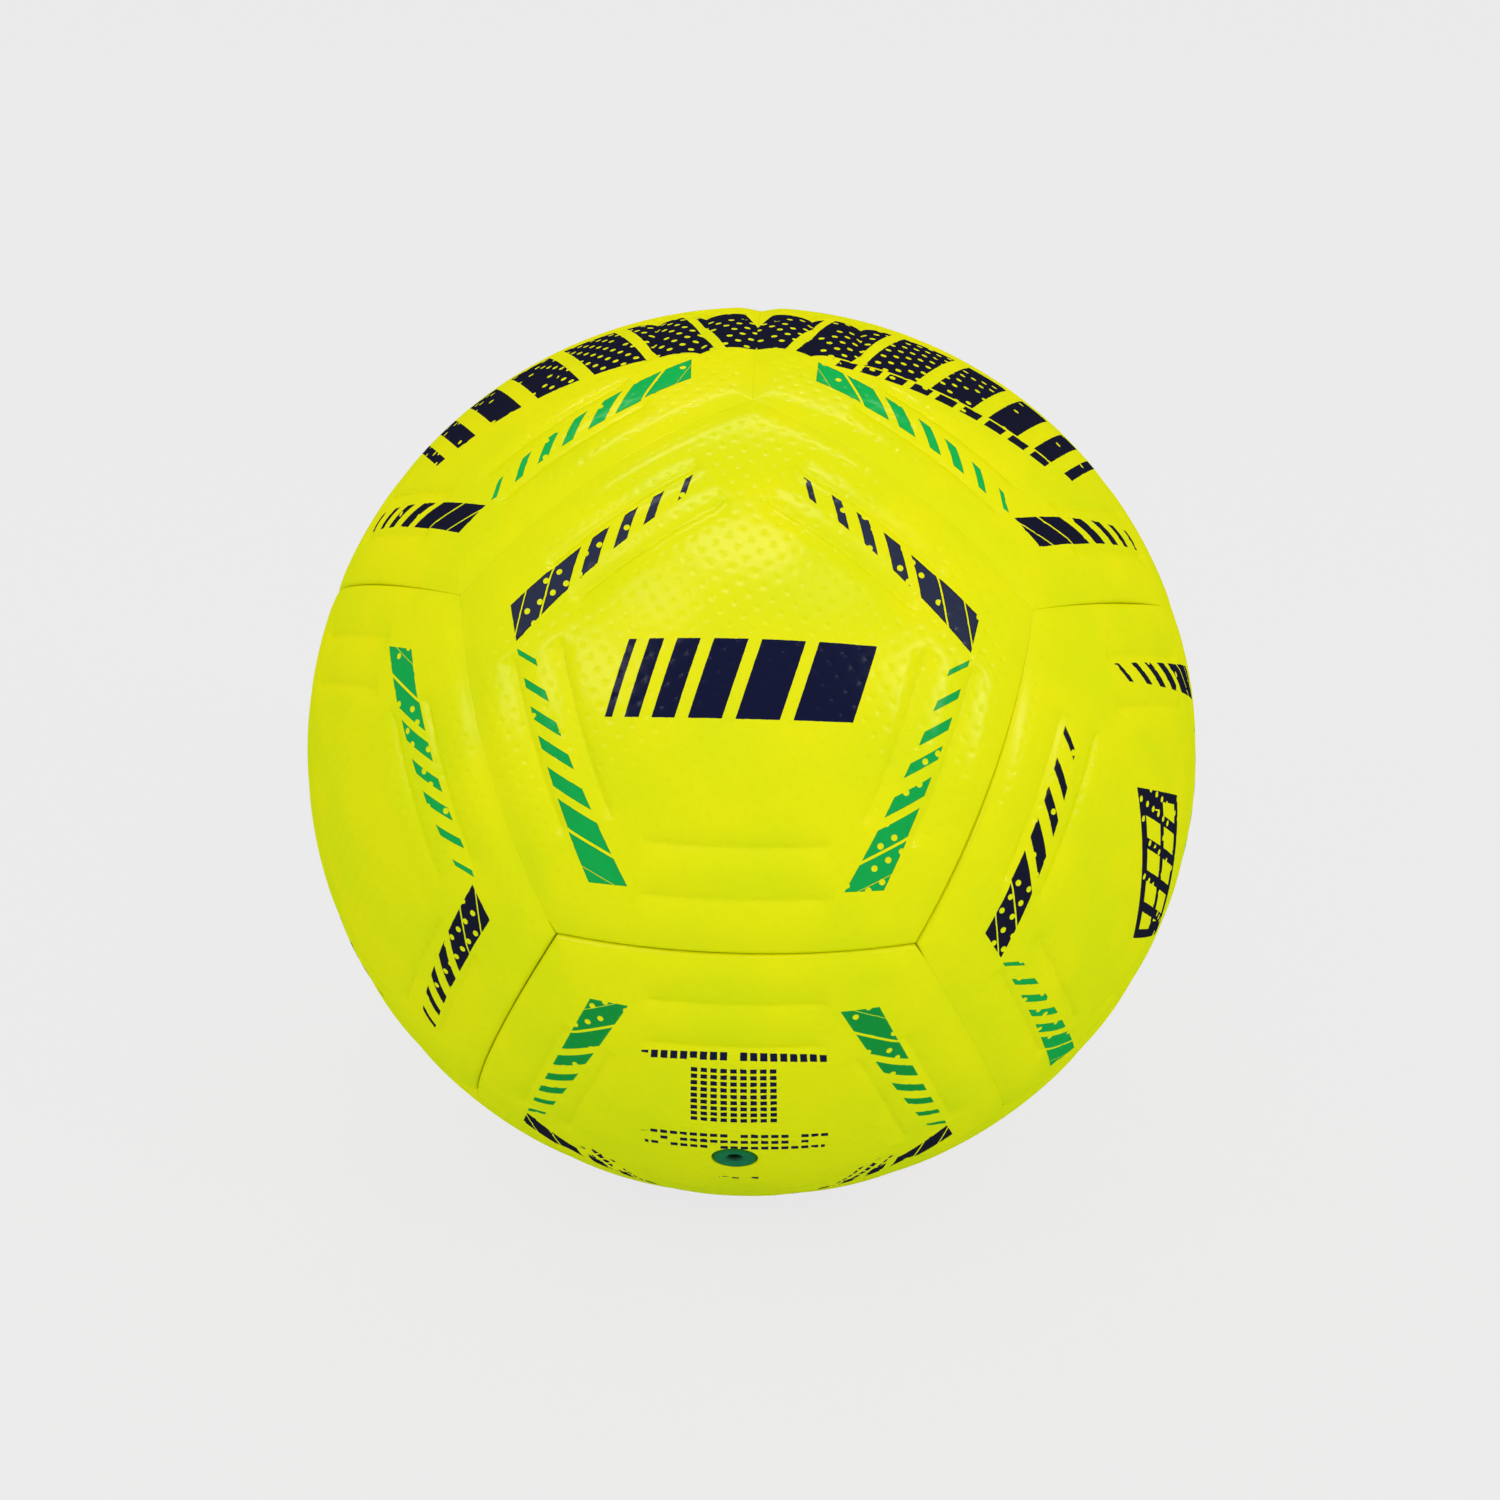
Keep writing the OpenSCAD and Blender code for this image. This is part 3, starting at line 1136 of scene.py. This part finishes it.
    def folds(self) -> list[tuple[float, float, float, float, float]]:
        """Lists the rings of vertices from the lip round the fold to the inner face.

        Returns:
            Each ring's inset, radius, sink, and how far it belongs to the skin and to the lip.
        """
        wide, fold = self.lip_w - self.half_gap, self.half_gap + self.fold_t
        rings = [
            (self.lip_w - wide * sin, self.ball_r, self.lip_sink * (1 - cos), 1.0, sin)
            for sin, cos in quarter_turn(self.lip_steps)
        ]
        return rings + [
            (self.half_gap, self.fold_in_r, 0.0, 0.0, 1.0),
            (fold, self.fold_in_r, 0.0, 0.0, 0.0),
            (fold, self.skin_in_r, 0.0, 0.0, 0.0),
        ]

    def cap_share(self, ring: int) -> float:
        """Gives the size of a ring on the inner face, as a share of the face."""
        return ring / self.cap_rings * (1 - self.cap_least) + self.cap_least

    def shell(self, valve: bool) -> bpy.types.Mesh:
        """Builds a panel's closed skin in its own axes.

        Args:
            valve: Whether it has the valve's hole.

        Returns:
            The mesh, with how far each vertex belongs to the lip, its sink there and its side.
        """
        sheet = self.bent_grid()
        self.trimmed(sheet)
        lip, sink, skin = (sheet.verts.layers.float.new(n) for n in ("lip", "sink", "skin"))
        side = sheet.verts.layers.int.new("side")
        for vert in sheet.verts:
            vert[skin] = 1.0
        hole = self.opened(sheet) if valve else []
        hole_edges = set(hole)
        rim = [e for e in sheet.edges if e.is_boundary and e not in hole_edges]
        inset = self.lip_w / self.ball_r
        for distance, radius, depth, outer, lip_share in self.folds():
            rim, verts = self.extruded(sheet, rim)
            for vert in verts:
                k, share = self.on_side(vert.co.normalized(), inset)
                vert.co = self.rim_point(k, share, distance / self.ball_r) * (radius - depth)
                vert[lip], vert[sink], vert[skin], vert[side] = lip_share, depth, outer, k
            inset = distance / self.ball_r
        for ring in range(self.cap_rings - 1, 0, -1):
            scale = self.cap_share(ring) / self.cap_share(ring + 1)
            rim, verts = self.extruded(sheet, rim)
            for vert in verts:
                flat = vert.co.xy / vert.co.z * scale
                vert.co = Vector((*flat, 1)).normalized() * self.skin_in_r
                vert[lip], vert[sink], vert[skin] = 0.0, 0.0, 0.0
        if valve:
            bmesh.ops.bridge_loops(sheet, edges=[*rim, *hole])
        else:
            rim, verts = self.extruded(sheet, rim)
            bmesh.ops.pointmerge(sheet, verts=verts, merge_co=(0, 0, self.skin_in_r))
        mesh = solid_mesh("skin_shell", sheet)
        self.pressed(mesh)
        return mesh

    def relief(self, ways: np.ndarray) -> tuple[np.ndarray, np.ndarray, np.ndarray]:
        """Works out how deep the pressed relief lies below the sphere.

        Args:
            ways: Directions in a panel's own axes, one per row.

        Returns:
            The depths, what a bonded seam gives back of them, and the fall to the seam alone.
        """
        depth, fall = np.zeros(len(ways)), np.zeros(len(ways))
        near_seam = np.full(len(ways), np.inf)
        bar_end = self.bar_l / 2 + self.bar_over
        mid_bar, bar_in = self.border_w + self.bar_w / 2, self.border_w + self.bar_w
        for k in range(SIDES):
            middle, along, inward = (np.array(a) for a in self.side_axes(k))
            far = np.arcsin(np.clip(ways @ inward, -1, 1)) * self.ball_r
            run = np.abs(np.arctan2(ways @ along, ways @ middle)) * self.ball_r
            valleys = [np.abs(far - v) for v in (self.border_w, bar_in)]
            cut = sum(fade(v, self.valley_half, self.valley_power) for v in valleys)
            border = fade(far, self.border_fall_w) * self.border_fall
            shoulder = fade(valleys[0], self.border_fall_w) * self.shoulder_fall
            bar = ((far - mid_bar) / (self.bar_w / 2)) ** 2 * self.bar_crown
            inner = fade(valleys[1], self.inner_fall_w) * self.inner_fall
            crown = np.where(far < self.border_w, shoulder, bar)
            crown = np.where(far > bar_in, inner, crown)
            ends = smooth(ramp(run, (bar_end, bar_end - self.bar_fade)))
            depth = np.maximum(depth, border + (crown + cut * self.valley_depth) * ends)
            fall = np.maximum(fall, border)
            near_seam = np.minimum(near_seam, far)
        spacing = self.dimples.spacing(ways, self.ball_r) / self.dimples.radius
        pits = np.clip(1 - spacing**2, 0, 1) ** 2 * ramp(near_seam, self.dimple_start)
        rise = fade(near_seam, self.shut_rise_w) * self.shut_rise
        return depth + pits * self.dimples.depth, rise, fall

    def pressed(self, mesh: bpy.types.Mesh) -> None:
        """Presses the relief and the dimples into a shell.

        Args:
            mesh: The shell, which is changed.
        """
        places, skin = vertex_places(mesh), vertex_values(mesh, "skin")
        ways = places / np.linalg.norm(places, axis=1, keepdims=True)
        depth, rise, fall = self.relief(ways)
        mesh.vertices.foreach_set("co", (places - ways * (depth * skin)[:, None]).ravel())
        sink = vertex_values(mesh, "sink") + rise * skin
        mesh.attributes["sink"].data.foreach_set("value", sink)
        mesh.attributes.new("fall", "FLOAT", "POINT").data.foreach_set("value", fall * skin)

    def settled(self, mesh: bpy.types.Mesh, turn: Matrix) -> None:
        """Turns a shell to its place and closes its seams where the ball's are shut.

        Args:
            mesh: The shell, which is changed.
            turn: The panel's turn.
        """
        places, rotation = vertex_places(mesh), np.array(turn).T
        lip, sink, fall = (vertex_values(mesh, name) for name in ("lip", "sink", "fall"))
        side = vertex_values(mesh, "side", np.int32)
        inward = np.array([self.side_axes(k)[2] for k in range(SIDES)])[side]
        ways = places / np.linalg.norm(places, axis=1, keepdims=True)
        spots = places @ rotation / self.ball_r
        shut = 1 - self.seams.openness(spots)
        lift = sink * shut * self.shut_lift + fall * self.seams.fullness(spots)
        widen = lip * shut * (self.half_gap - self.closed_half_gap)
        places += ways * lift[:, None] - inward * widen[:, None]
        mesh.vertices.foreach_set("co", (places @ rotation).ravel())
        for name in ("lip", "sink", "skin", "side", "fall"):
            mesh.attributes.remove(mesh.attributes[name])

    def build(self) -> list[bpy.types.Object]:
        """Builds and dresses the twelve panels.

        Returns:
            Their objects.
        """
        shells = {valve: self.shell(valve) for valve in (False, True)}
        made = []
        for panel in PANELS:
            mesh = shells[panel is VALVE].copy()
            self.settled(mesh, panel.turn())
            mesh.materials.append(self.finish.make(panel, self.dimples, self.ball_r))
            piece = placed(f"skin_panel_{panel.name}", mesh)
            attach(piece, "ball")
            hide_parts(f"cover_panel_{panel.name}")
            made.append(piece)
        for shell in shells.values():
            bpy.data.meshes.remove(shell)
        return made


@dataclass(frozen=True)
class RubberFinish:
    """Moulded rubber with a fine mottle."""

    name: str
    colour: Rgba
    shade: Rgba
    roughness: float = 0.5
    rough_spread: float = 0.15
    specular: float = 0.4
    mottle_scale: float = 220
    grain_scale: float = 3200
    grain_depth: float = 0.02 * MM

    def make(self) -> bpy.types.Material:
        """Makes the material.

        Returns:
            The material.
        """
        material, sheet = new_material(self.name)
        place = sheet.place()
        mottle = sheet.noise(place, self.mottle_scale, 3.0).eased(*MOTTLE)
        fine = sheet.noise(place, self.grain_scale)
        colour = sheet.blend(mottle, self.colour, self.shade)
        rough = (fine - 0.5) * self.rough_spread + self.roughness
        finish_surface(sheet, colour, rough, fine, self.grain_depth, self.specular)
        return material


@dataclass(frozen=True)
class FoamFinish:
    """Closed-cell foam, cut from a sheet."""

    colour: Rgba = linear(236, 236, 228)
    shade: Rgba = linear(205, 205, 196)
    cell_scale: float = 1600.0
    cell_edge: Pair = (0.1, 0.7)
    cell_depth: float = 0.12 * MM
    roughness: float = 0.85

    def make(self) -> bpy.types.Material:
        """Makes the material.

        Returns:
            The material.
        """
        material, sheet = new_material("panel_foam")
        inputs = {"Vector": sheet.place(), "Scale": self.cell_scale}
        cells = sheet.wire("ShaderNodeTexVoronoi", "Distance", None, inputs)
        colour = sheet.blend(cells.eased(*self.cell_edge), self.shade, self.colour)
        finish_surface(sheet, colour, self.roughness, cells, self.cell_depth)
        return material


@dataclass(frozen=True)
class ThreadFinish:
    """Thread wound round the bladder in many directions and set in latex."""

    thread: Rgba = linear(226, 218, 196)
    latex: Rgba = linear(172, 150, 104)
    lays: tuple[Triple, ...] = ((0.3, 0.1, 0.0), (1.4, 0.6, 0.9), (0.8, 1.9, 2.2))
    scale: float = 210.0
    stray: float = 1.2
    stray_scale: float = 4.0
    thread_edge: Pair = (0.2, 0.9)
    thread_depth: float = 0.25 * MM
    roughness: float = 0.7

    def make(self) -> bpy.types.Material:
        """Makes the material.

        Returns:
            The material.
        """
        material, sheet = new_material("wound_thread")
        place = sheet.place()
        wave = {"Scale": self.scale, "Distortion": self.stray, "Detail Scale": self.stray_scale}
        laid = [{"Vector": sheet.turned(place, lay), **wave} for lay in self.lays]
        waves = [sheet.wire("ShaderNodeTexWave", "Fac", None, inputs) for inputs in laid]
        height = reduce(Wire.at_least, waves)
        colour = sheet.blend(height.eased(*self.thread_edge), self.latex, self.thread)
        finish_surface(sheet, colour, self.roughness, height, self.thread_depth)
        return material


@dataclass(frozen=True)
class CoreFinish:
    """The valve core's green rubber, darker towards the rim, with painted shade in and round the
    needle hole.
    """

    green: Rgba = linear(6, 118, 74)
    shade: Rgba = linear(4, 106, 78)
    rim: Rgba = linear(2, 104, 26)
    # Painted shade: the needle hole and its mouth drawn near black
    hole: Rgba = linear(3, 34, 20)
    mottle_scale: float = 500
    mottle: Pair = (0.3, 0.7)
    # Distances from the axis in millimetres, and how far the mottle moves the hole's edge
    rim_edge: Pair = (2.9, 3.5)
    hole_edge: Pair = (1.05, 2.1)
    hole_stray: float = 0.5
    grain_scale: float = 3000
    grain_depth: float = 0.02 * MM
    roughness: float = 0.42
    gloss: float = 0.014

    def make(self) -> bpy.types.Material:
        """Makes the material.

        Returns:
            The material.
        """
        material, sheet = new_material("core_rubber")
        place = sheet.place()
        x, y, _ = sheet.parts(sheet.turned(place, valve_turn().transposed().to_euler()))
        out = (x * x + y * y).root() / MM
        mottle = sheet.noise(place, self.mottle_scale)
        colour = sheet.blend(mottle.eased(*self.mottle), self.green, self.shade)
        colour = sheet.blend(out.eased(*self.rim_edge), colour, self.rim)
        # Painted shade in and round the needle hole
        hole = 1 - (out + mottle * self.hole_stray).eased(*self.hole_edge)
        colour = sheet.blend(hole, colour, self.hole)
        fine = sheet.noise(place, self.grain_scale)
        finish_surface(sheet, colour, self.roughness, fine, self.grain_depth, 0.0, self.gloss)
        return material


@dataclass
class ValveCore:
    """The removable valve core: head, needle hole, stem and point, turned about its axis."""

    head_r: float = 3.7 * MM
    head_top: float = 79.9 * MM
    head_bottom: float = 78.55 * MM
    head_round: float = 0.35 * MM
    # The dish in the head: radii, each with its share of the depth
    dish_depth: float = 0.16 * MM
    dish: Spans = ((1.9 * MM, 1.0), (2.7 * MM, 0.9), (2.95 * MM, 0.35), (3.1 * MM, 0.0))
    stem_r: float = 2.4 * MM
    stem_end: float = 62.55 * MM
    point_end: float = 60.55 * MM
    point_r: float = 1.3 * MM
    point_edge: Pair = (0.15 * MM, 0.1 * MM)
    needle_r: float = 1.0 * MM
    needle_l: float = 4.4 * MM
    mouth_r: float = 1.45 * MM
    mouth_l: float = 0.75 * MM
    # Bevels: under the head; at the stem's top and the needle hole's end
    head_bevel: float = 0.15 * MM
    bevel: float = 0.2 * MM
    arc_steps: int = 6
    turns: int = 96
    finish: CoreFinish = field(default_factory=CoreFinish)

    def profile(self) -> list[Pair]:
        """Lists the core's outline.

        Returns:
            Radius and height of each point, from the needle hole's end out and round to the tip.
        """
        top, low, deep = self.head_top, self.head_bottom, self.head_top - self.needle_l
        wide, arc = self.mouth_r - self.needle_r, quarter_turn(self.arc_steps)
        dish = top - self.dish_depth
        mouth = self.mouth_l - self.dish_depth
        return [
            (0.0, deep),
            (self.needle_r - self.bevel, deep),
            (self.needle_r, deep + self.bevel),
            (self.needle_r, top - self.mouth_l),
            *((self.needle_r + wide * (1 - cos), dish - mouth * (1 - sin)) for sin, cos in arc),
            *((radius, top - self.dish_depth * share) for radius, share in self.dish),
            *(
                (self.head_r - self.head_round * (1 - sin), top - self.head_round * (1 - cos))
                for sin, cos in arc
            ),
            (self.head_r, low + self.head_bevel),
            (self.head_r - self.head_bevel, low),
            (self.stem_r + self.bevel, low),
            (self.stem_r, low - self.bevel),
            (self.stem_r, self.stem_end),
            (self.point_r + self.point_edge[0], self.point_end + self.point_edge[1]),
            (self.point_r, self.point_end),
            (0.0, self.point_end),
        ]

    def build(self) -> bpy.types.Object:
        """Builds and dresses the core.

        Returns:
            Its object.
        """
        shape = bmesh.new()
        verts = [shape.verts.new((r, 0, h)) for r, h in self.profile()]
        chain = [shape.edges.new(pair) for pair in zip(verts, verts[1:])]
        bmesh.ops.spin(
            shape, geom=[*verts, *chain], cent=(0, 0, 0), axis=(0, 0, 1), angle=math.tau,
            steps=self.turns, use_merge=True,
        )
        bmesh.ops.remove_doubles(shape, verts=shape.verts[:], dist=TURNED_REACH)
        bmesh.ops.rotate(shape, verts=shape.verts[:], matrix=valve_turn())
        mesh = solid_mesh("core_body", shape)
        mesh.materials.append(self.finish.make())
        piece = placed("core_body", mesh)
        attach(piece, "valve_core")
        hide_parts("valve_core")
        return piece


@dataclass
class InnerLayers:
    """The foam pads, carcass, bladder and valve housing, which keep their CAD shapes."""

    foam: FoamFinish = field(default_factory=FoamFinish)
    thread: ThreadFinish = field(default_factory=ThreadFinish)
    bladder: RubberFinish = RubberFinish("bladder_rubber", linear(34, 34, 37), linear(22, 22, 24))
    housing: RubberFinish = RubberFinish(
        "housing_rubber", linear(52, 52, 54), linear(38, 38, 40), 0.6
    )

    def dress(self, nodes: dict[str, bpy.types.Object]) -> list[str]:
        """Gives each inner node its finish.

        Args:
            nodes: The frame's objects by name.

        Returns:
            The names of the dressed nodes.
        """
        foam = self.foam.make()
        finishes = {f"panel_foam_{panel.name}": foam for panel in PANELS}
        finishes["wound_carcass"] = self.thread.make()
        finishes["bladder"] = self.bladder.make()
        finishes["valve_housing"] = self.housing.make()
        for name, material in finishes.items():
            node = nodes[name]
            if not node.material_slots:
                node.data.materials.append(material)
            for slot in node.material_slots:
                slot.material = material
        return list(finishes)


@dataclass(frozen=True)
class Softbox:
    """A soft light that faces the ball."""

    name: str
    place: Triple
    size: Pair
    power: float
    colour: Triple = (1.0, 1.0, 1.0)
    reach: Reach = Reach.ALL

    def hang(self) -> None:
        """Adds the light to the scene."""
        light = bpy.data.lights.new(self.name, "AREA")
        light.shape = "RECTANGLE"
        light.size, light.size_y = self.size
        light.energy = self.power
        light.color = self.colour
        lamp = placed(self.name, light)
        lamp.location = self.place
        lamp.visible_diffuse, lamp.visible_glossy = self.reach.value
        lamp.rotation_euler = Vector(self.place).to_track_quat("Z", "Y").to_euler()


KEY: Triple = (1.0, 0.86, 0.82)
WARM: Triple = (1.0, 0.93, 0.9)
NEUTRAL: Triple = (1.0, 1.0, 1.0)
SHADING, REFLECTIONS = Reach.SHADING, Reach.REFLECTIONS
BOXES = (
    Softbox("top_box", (0.0, -0.16, 1.3), (0.2, 0.16), 1.2, KEY, SHADING),
    Softbox("high_box", (-0.2, 0.75, 1.15), (0.8, 0.06), 0.45, KEY),
    Softbox("front_box", (0.0, -1.02, 1.08), (1.4, 1.0), 3.5, WARM, SHADING),
    Softbox("left_box", (-1.0, -0.63, 0.58), (0.035, 0.4), 0.9),
    Softbox("right_box", (0.95, -0.68, 0.58), (0.035, 0.4), 1.9, WARM),
    Softbox("top_glint", (-0.056, -0.378, 1.3), (0.54, 0.27), 4.8, NEUTRAL, REFLECTIONS),
    Softbox("high_left_glint", (-0.48, -0.6, 1.11), (0.36, 0.26), 1.5, NEUTRAL, REFLECTIONS),
    Softbox("high_right_glint", (0.44, -0.52, 1.16), (0.34, 0.2), 0.8, NEUTRAL, REFLECTIONS),
    Softbox("rear_glint", (-0.1, 0.5, 1.25), (1.3, 0.16), 9.0, NEUTRAL, REFLECTIONS),
    Softbox("left_glint", (-0.79, -0.77, 0.78), (0.4, 0.3), 2.4, NEUTRAL, REFLECTIONS),
    Softbox("right_glint", (0.84, -0.72, 0.79), (0.36, 0.24), 1.5, NEUTRAL, REFLECTIONS),
)


@dataclass
class Studio:
    """The pale floor, the soft lights, the background and the camera."""

    pale: Rgba = linear(235, 235, 235)
    ambient: float = 0.74
    fill: Rgba = (0.985, 1.0, 0.97, 1.0)
    floor_tint: Rgba = linear(218, 238, 218)
    floor_glow: Rgba = linear(238, 236, 238)
    # How much of its glow the floor shows to a ray that looks at it
    glow_share: float = 0.92
    floor_z: float = -80 * MM
    floor_half: float = 4.0
    camera_far: float = 478.2 * MM
    lens_mm: float = 62.85
    sensor_mm: float = 36.0
    right: Triple = (0.99934, 0.03365, 0.01404)
    up: Triple = (-0.02626, 0.39703, 0.91743)
    back: Triple = (0.0253, -0.91719, 0.39765)
    shift: Pair = (-0.00115, 0.00111)

    @staticmethod
    def seen(sheet: NodeSheet) -> Wire:
        """Tells rays that look at the background from those that light the object.

        Args:
            sheet: The node tree.

        Returns:
            One for a ray that looks, zero for one that lights.
        """
        path = sheet.node("ShaderNodeLightPath")
        looks = ("Is Camera Ray", "Is Glossy Ray", "Is Transmission Ray")
        return reduce(Wire.at_least, [Wire(sheet, path.outputs[name]) for name in looks])

    def world(self) -> None:
        """Sets the background and the ambient light."""
        world = bpy.data.worlds.new("studio")
        world.use_nodes = True
        sheet = NodeSheet(world.node_tree)
        light = sheet.node("ShaderNodeBackground", None, {0: self.fill, 1: self.ambient})
        wall = sheet.node("ShaderNodeBackground", None, {0: self.pale, 1: 1.0})
        mixed = sheet.mixed(self.seen(sheet), light, wall)
        sheet.node("ShaderNodeOutputWorld", None, {"Surface": mixed.outputs[0]})
        bpy.context.scene.world = world

    def floor(self) -> bpy.types.Object:
        """Lays the floor.

        Returns:
            The floor's object.
        """
        shape = bmesh.new()
        bmesh.ops.create_grid(shape, x_segments=1, y_segments=1, size=self.floor_half)
        bmesh.ops.translate(shape, verts=shape.verts[:], vec=(0, 0, self.floor_z))
        mesh = bpy.data.meshes.new("floor")
        shape.to_mesh(mesh)
        shape.free()
        material, sheet = new_material("floor")
        plain = sheet.node("ShaderNodeBsdfDiffuse", None, {0: self.floor_tint})
        glow = sheet.node("ShaderNodeEmission", None, {0: self.floor_glow, 1: 1.0})
        mixed = sheet.mixed(self.seen(sheet) * self.glow_share, plain, glow)
        sheet.node("ShaderNodeOutputMaterial", None, {"Surface": mixed.outputs[0]})
        mesh.materials.append(material)
        return placed("floor", mesh)

    def camera(self) -> None:
        """Sets the camera at the photograph's viewing angle."""
        data = bpy.data.cameras.new("camera")
        data.lens, data.sensor_width = self.lens_mm, self.sensor_mm
        data.shift_x, data.shift_y = self.shift
        camera = placed("camera", data)
        turn = Matrix((self.right, self.up, self.back)).transposed().to_4x4()
        camera.matrix_world = Matrix.Translation(Vector(self.back) * self.camera_far) @ turn
        bpy.context.scene.camera = camera

    def build(self) -> None:
        """Sets up the whole studio."""
        bpy.context.scene.view_settings.view_transform = "Standard"
        self.world()
        self.floor()
        for box in BOXES:
            box.hang()
        self.camera()


def main() -> None:
    """Builds the scene and reports each piece."""
    logging.basicConfig(level=logging.INFO, format="%(name)s: %(message)s")
    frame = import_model()
    Studio().build()
    for piece in CoverPanels().build():
        log.info("%s: %d faces", piece.name, len(piece.data.polygons))
    core = ValveCore().build()
    log.info("%s: %d faces", core.name, len(core.data.polygons))
    for name in InnerLayers().dress(frame["nodes"]):
        log.info("%s: dressed", name)


if __name__ == "__main__":
    main()
